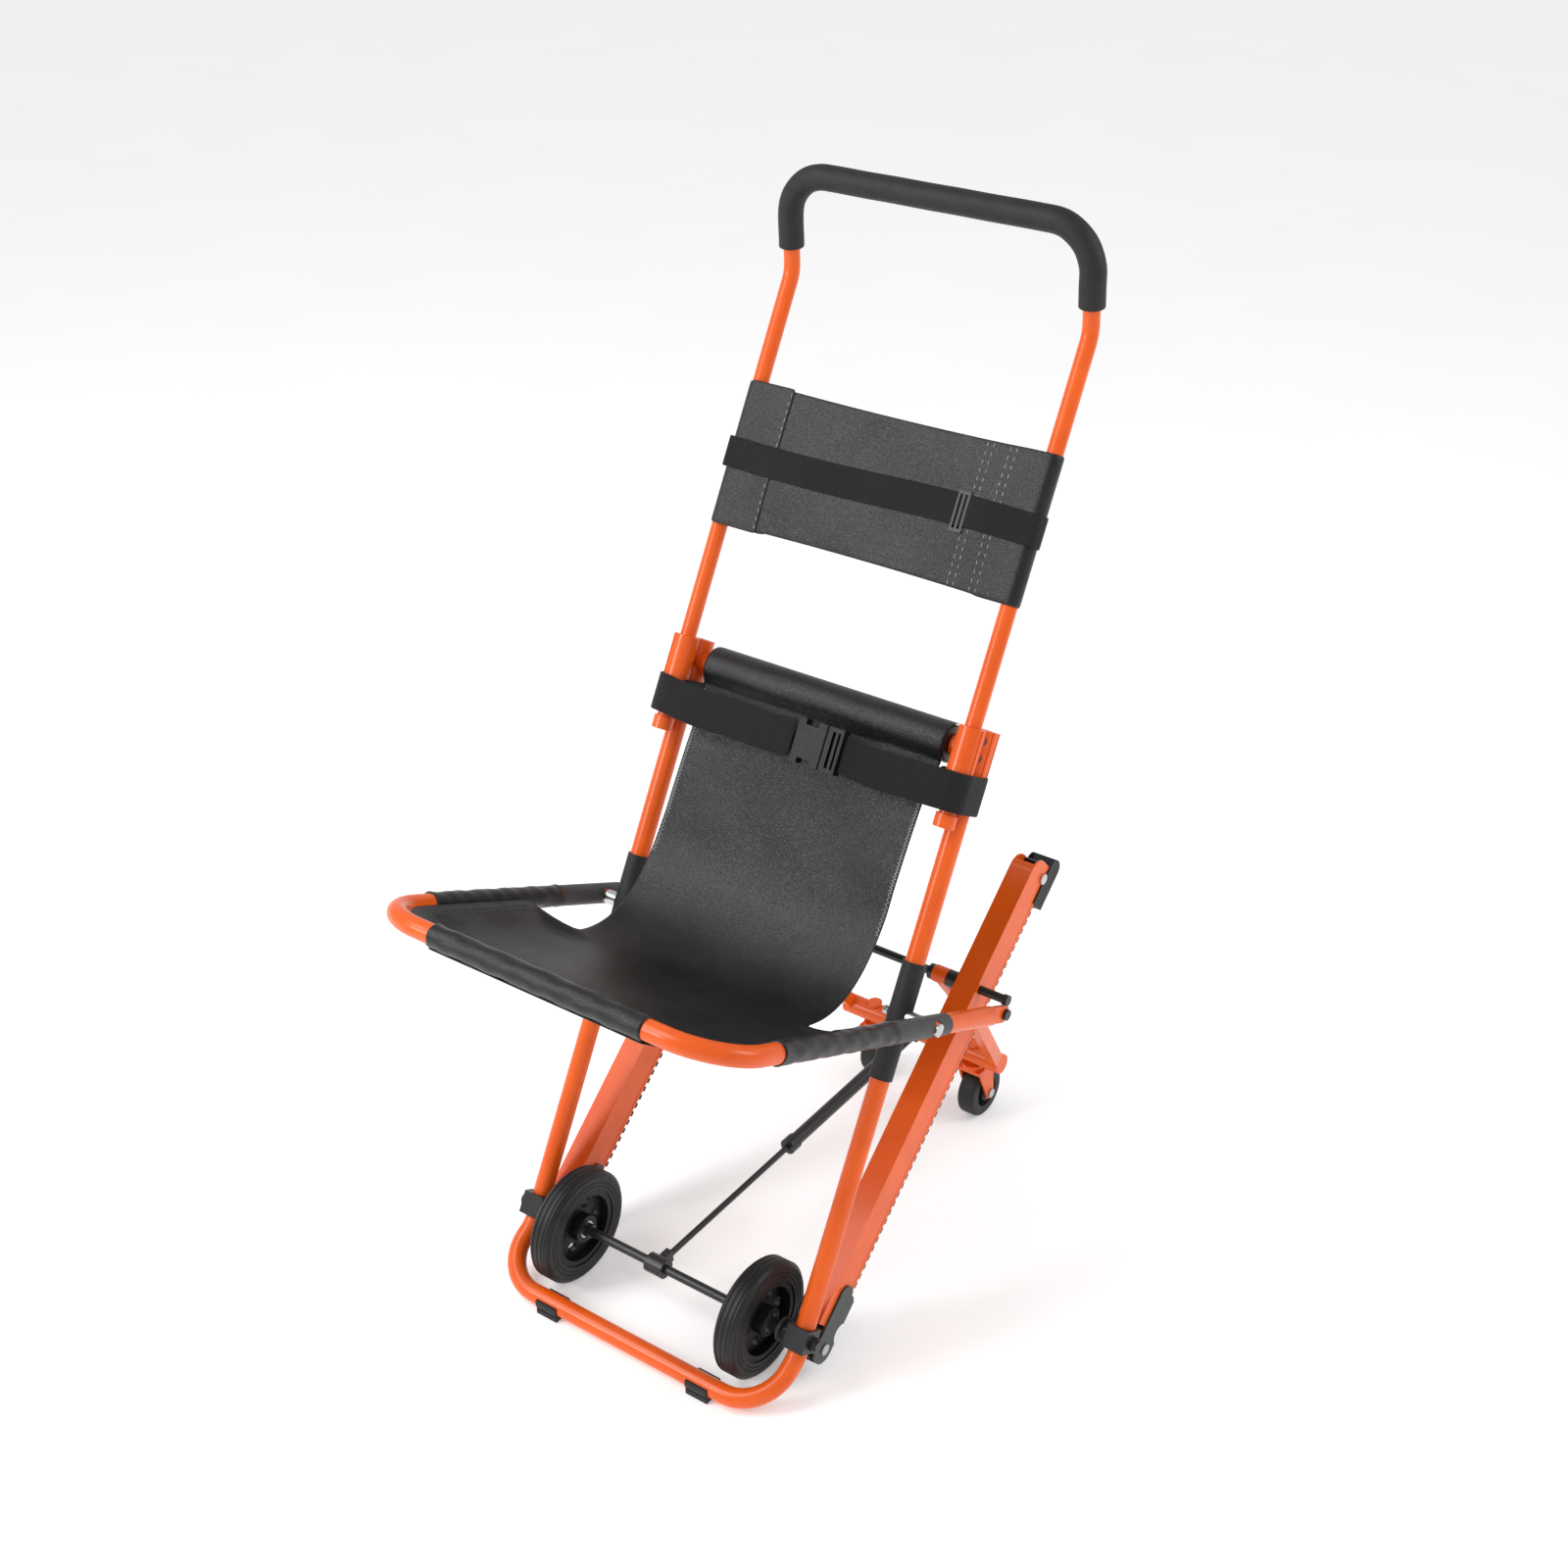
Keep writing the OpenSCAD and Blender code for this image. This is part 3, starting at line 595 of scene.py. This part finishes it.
flap_rows = []
for i in range(17):
    z = PANEL_LOW - 1.5 + (PANEL_HIGH - PANEL_LOW + 3) * i / 16
    row = []
    for j in range(13):
        x = -TUBE_X - 4 + 66 * j / 12
        q = panel_shape(Vector((x, HAND_Y - 11.4, min(max(z, PANEL_LOW), PANEL_HIGH))))
        lift = 1.7 if j < 12 else 1.2
        row.append(place(TO_FRAME, (x, q.y - lift, z + 0.8 * math.sin(0.05 * z))))
    flap_rows.append(row)
flap = cloth_grid("back_panel_flap", flap_rows, 1.4)
finish_piece(flap, MATERIALS["leatherette"], "handle")


def panel_run(x, proud=1.0):
    pts = []
    for k in range(34):
        z = PANEL_LOW + 3 + (PANEL_HIGH - PANEL_LOW - 6) * k / 33
        q = panel_shape(Vector((x, HAND_Y - 11.4, z)))
        pts.append(place(TO_FRAME, (x, q.y - proud, q.z)))
    return pts, OUT


stitches("panel_stitches", [panel_run(-152), panel_run(128), panel_run(136),
                            panel_run(158), panel_run(166)], "handle", 5, 3, 0.6, PALE_THREAD_AND_GLINT)
stitches("panel_flap_stitches", [panel_run(-148, 2.6)], "handle", 5, 3, 0.6, PALE_THREAD_AND_GLINT)


# ---------- straps ----------
def chest_shape(p):
    out = Vector(p)
    if p.y < HAND_Y - 5:
        q = panel_shape(Vector((p.x, HAND_Y - 11.4, p.z)))
        out.y = q.y - 2.6 - 1.6 * smooth((-p.x - 135) / 20)
        out.z += 2.2 * math.sin(0.014 * p.x)
    return out


chest = wrapped("chest_webbing", 13.9, 90, CHEST_Z - 19, CHEST_Z + 19, 8, 1.5, chest_shape)
finish_piece(chest, MATERIALS["webbing"], "handle")
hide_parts("chest_strap")

LAP_Z, LAP_W, BARREL = 673, 48, 19.6


def lap_loop(side):
    """From the buckle outwards, round the clamp and back behind it, as (x, y) points."""
    pts = []
    y_front = HAND_Y - BARREL
    x_in = 63 if side > 0 else 7
    for k in range(22):
        t = k / 21
        x = x_in + (TUBE_X - x_in) * t
        pts.append((x, y_front + 2.2 * math.sin(math.pi * t) * (1 - t) - 0.4))
    for k in range(1, 10):
        a = -math.pi / 2 + math.pi / 2 * k / 9
        pts.append((TUBE_X + BARREL * math.cos(a), HAND_Y + BARREL * math.sin(a)))
    for k in range(1, 4):
        pts.append((TUBE_X + BARREL, HAND_Y - HAND_Y * k / 3))
    for k in range(1, 10):
        a = math.pi / 2 * k / 9
        pts.append((TUBE_X + BARREL * math.cos(a), BARREL * math.sin(a)))
    for k in range(1, 10):
        a = math.pi / 2 + math.pi / 2 * k / 9
        pts.append((TUBE_X + BARREL * math.cos(a), BARREL * math.sin(a)))
    for k in range(1, 5):
        pts.append((TUBE_X - BARREL, (HAND_Y - 12) * k / 4))
    return [(side * x, y) for x, y in pts]


for name, side in (("left", -1), ("right", 1)):
    pts = lap_loop(side)
    rows_ = []
    for i in range(9):
        h = -LAP_W / 2 + LAP_W * i / 8
        row = []
        for k, (x, y) in enumerate(pts):
            droop = -3.5 * math.sin(math.pi * min(1, k / 21)) + 0.8 * math.sin(0.05 * x)
            curl = 0.5 * math.sin(math.pi * (i / 8)) if k < 21 else 0
            row.append(place(TO_FRAME, (x, y - curl, LAP_Z + h * 0.98 + droop)))
        rows_.append(row)
    lap = cloth_grid(f"lap_webbing_{name}", rows_, 1.6)
    finish_piece(lap, MATERIALS["webbing"], "frame")
    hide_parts(f"lap_strap_{name}")

# ---------- floor, light and camera ----------
bpy.ops.mesh.primitive_plane_add(size=60, location=(0, 0, -0.0005))
floor = bpy.context.object
floor.name = "floor"
fm = Nodes("pale_floor")
fm.colour(fm.noise(3, 2), (0.92, 0.92, 0.92), (0.94, 0.94, 0.94))
fm.set(Roughness=0.9, Emission_Color=(1, 1, 1, 1), Emission_Strength=0.28)
floor.data.materials.append(fm.m)

world = bpy.data.worlds.new("studio")
bpy.context.scene.world = world
world.use_nodes = True
world.node_tree.nodes["Background"].inputs["Color"].default_value = (1, 1, 1, 1)
world.node_tree.nodes["Background"].inputs["Strength"].default_value = 0.62


def area_light(name, at, target, size, power):
    data = bpy.data.lights.new(name, "AREA")
    data.shape = "SQUARE"
    data.size = size
    data.energy = power
    ob = bpy.data.objects.new(name, data)
    ob.location = at
    ob.rotation_euler = (Vector(target) - Vector(at)).to_track_quat("-Z", "Y").to_euler()
    bpy.context.scene.collection.objects.link(ob)


area_light("key", (-1.6, -1.8, 3.4), (0, 0, 0.5), 1.8, 55)
area_light("rim", (2.4, 1.4, 2.4), (0, 0, 0.6), 1.4, 30)
area_light("front", (-1.8, -2.7, 1.9), (0, 0, 0.6), 0.8, 34)

cam_data = bpy.data.cameras.new("camera")
cam_data.lens = 52.94
cam_data.sensor_width = 36
cam = bpy.data.objects.new("camera", cam_data)
cam.location = (1.421, -1.883, 1.949)
cam.rotation_euler = Vector((-0.52235, 0.70516, -0.47946)).to_track_quat("-Z", "Y").to_euler()
bpy.context.scene.collection.objects.link(cam)
bpy.context.scene.camera = cam
bpy.context.scene.view_settings.view_transform = "Standard"
